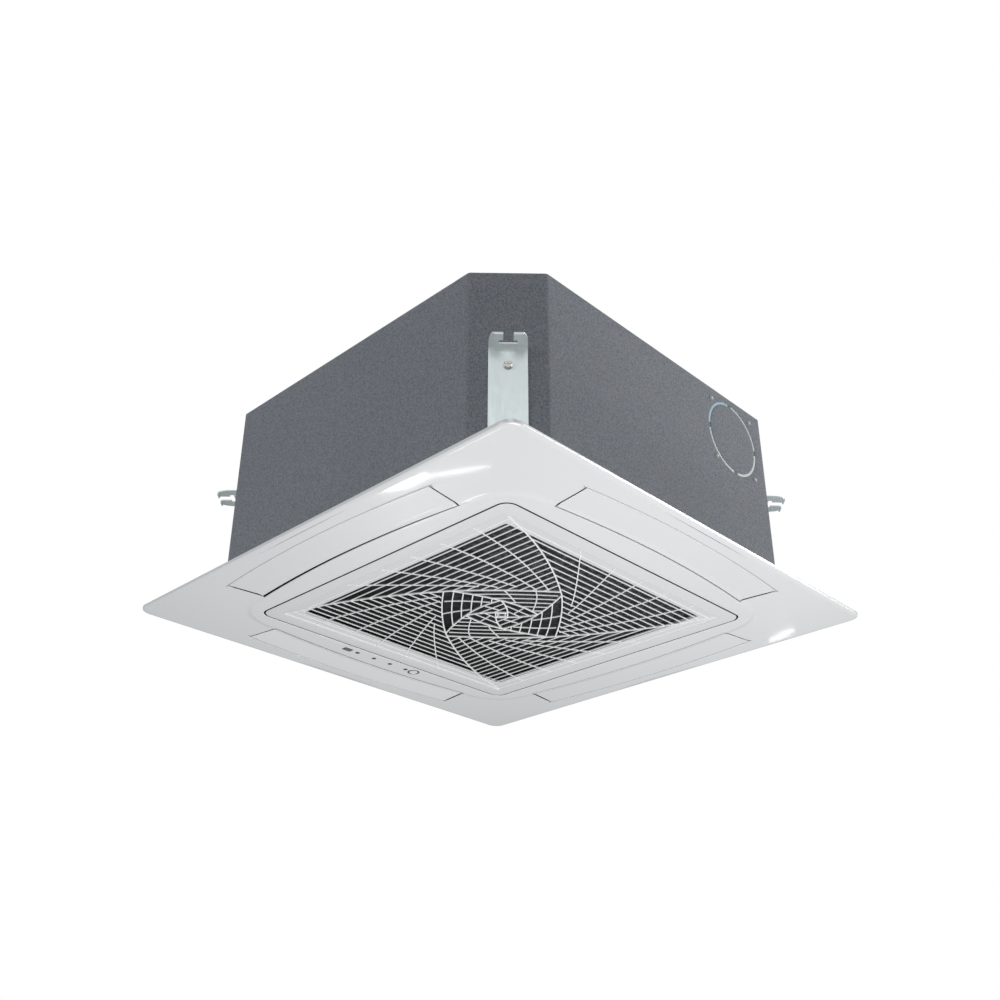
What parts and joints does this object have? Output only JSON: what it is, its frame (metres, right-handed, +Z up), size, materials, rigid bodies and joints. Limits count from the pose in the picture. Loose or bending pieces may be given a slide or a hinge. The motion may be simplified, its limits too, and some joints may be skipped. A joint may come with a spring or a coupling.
{
  "type": "ceiling cassette air conditioner",
  "caption": "Square ceiling cassette air conditioner: felt-clad body with corner hangers above a white panel with bowed air vanes on all sides and a hinged pinwheel intake grille.",
  "frame": {"origin": "middle of the ceiling plane, level with the upper side of the panel rim", "axes": "+Z up into the ceiling; -Y the front side, where the grille swings down; +X the side with the fresh-air knock-out; the indicator strip is on the -X side"},
  "size_m": [0.7, 0.7, 0.2919],
  "materials": {
    "zinc": "zinc-coated sheet steel, soft sheen",
    "screw": "bright plated steel",
    "felt": "speckled dark grey felt insulation",
    "black_foam": "soft black foam",
    "pale_foam": "moulded pale foam",
    "fins": "closely finned aluminium",
    "copper": "bare copper tube",
    "brass": "machined brass",
    "dark_plastic": "dark moulded plastic",
    "grey_plastic": "grey moulded plastic",
    "rubber": "black rubber",
    "board": "green circuit board",
    "smoked": "dark smoked plastic",
    "panel_white": "glossy cool white",
    "louvre_white": "satin white"
  },
  "bodies": {
    "unit": {"side_casing": "zinc", "top_plate": "zinc", "insulation_jacket": "felt", "wall_liner": "black_foam", "top_foam": "pale_foam", "coil": "fins", "coil_plate_side": "zinc", "coil_plate_back": "zinc", "gas_pipe": "copper", "gas_flare_nut": "brass", "liquid_pipe": "copper", "liquid_flare_nut": "brass", "pipe_cover": "zinc", "drain_pan": "pale_foam", "drain_pump": "grey_plastic", "drain_hose": "rubber", "drain_outlet": "grey_plastic", "bell_mouth": "panel_white", "motor_mount": "zinc", "motor_damper": "rubber", "fan_motor": "dark_plastic", "control_box": "zinc", "control_box_cover": "zinc", "main_board": "board", "cable_gland": "rubber", "panel_frame": "panel_white", "panel_seal": "black_foam", "receiver_window": "smoked", "indicator_lens": "smoked", "indicator_board": "board", "hinge_pin_left": "screw", "hinge_pin_right": "screw", "hanger_front_right": "zinc", "hanger_screw_front_right": "screw", "panel_screw_front_right": "screw", "hanger_back_right": "zinc", "hanger_screw_back_right": "screw", "panel_screw_back_right": "screw", "hanger_back_left": "zinc", "hanger_screw_back_left": "screw", "panel_screw_back_left": "screw", "hanger_front_left": "zinc", "hanger_screw_front_left": "screw", "panel_screw_front_left": "screw", "vane_motor_front": "dark_plastic", "vane_motor_right": "dark_plastic", "vane_motor_back": "dark_plastic", "vane_motor_left": "dark_plastic"},
    "fan": {"fan_impeller": "grey_plastic", "fan_shaft": "screw", "fan_nut": "brass"},
    "grille_door": {"grille": "louvre_white", "air_filter": "dark_plastic"},
    "latch_left": {"grille_latch_left": "grey_plastic"},
    "latch_right": {"grille_latch_right": "grey_plastic"},
    "button": {"reset_button": "panel_white"},
    "vane_front": {"vane_front": "panel_white"},
    "vane_right": {"vane_right": "panel_white"},
    "vane_back": {"vane_back": "panel_white"},
    "vane_left": {"vane_left": "panel_white"}
  },
  "joints": [
    {"name": "fan_spin", "type": "hinge", "parent": "unit", "child": "fan", "pos_m": [0, 0, 0], "axis": [0, 0, 1], "continuous": true},
    {"name": "grille_hinge", "type": "hinge", "parent": "unit", "child": "grille_door", "pos_m": [0, 0.221, -0.0042], "axis": [1, 0, 0], "range_deg": [0, 90]},
    {"name": "latch_left_slide", "type": "slide", "parent": "grille_door", "child": "latch_left", "axis": [0, -1, 0], "range_m": [0, 0.005]},
    {"name": "latch_right_slide", "type": "slide", "parent": "grille_door", "child": "latch_right", "axis": [0, -1, 0], "range_m": [0, 0.005]},
    {"name": "vane_front_hinge", "type": "hinge", "parent": "unit", "child": "vane_front", "pos_m": [0, -0.2805, -0.001], "axis": [1, 0, 0], "range_deg": [0, 48]},
    {"name": "vane_right_hinge", "type": "hinge", "parent": "unit", "child": "vane_right", "pos_m": [0.2805, 0, -0.001], "axis": [0, 1, 0], "range_deg": [0, 48]},
    {"name": "vane_back_hinge", "type": "hinge", "parent": "unit", "child": "vane_back", "pos_m": [0, 0.2805, -0.001], "axis": [-1, 0, 0], "range_deg": [0, 48]},
    {"name": "vane_left_hinge", "type": "hinge", "parent": "unit", "child": "vane_left", "pos_m": [-0.2805, 0, -0.001], "axis": [0, -1, 0], "range_deg": [0, 48]},
    {"name": "button_slide", "type": "slide", "parent": "unit", "child": "button", "axis": [0, 0, 1], "range_m": [0, 0.001], "stiffness_N_per_m": 300}
  ],
  "couplings": [
    {"joint": "vane_right_hinge", "follows": "vane_front_hinge", "ratio": 1},
    {"joint": "vane_back_hinge", "follows": "vane_front_hinge", "ratio": 1},
    {"joint": "vane_left_hinge", "follows": "vane_front_hinge", "ratio": 1}
  ]
}
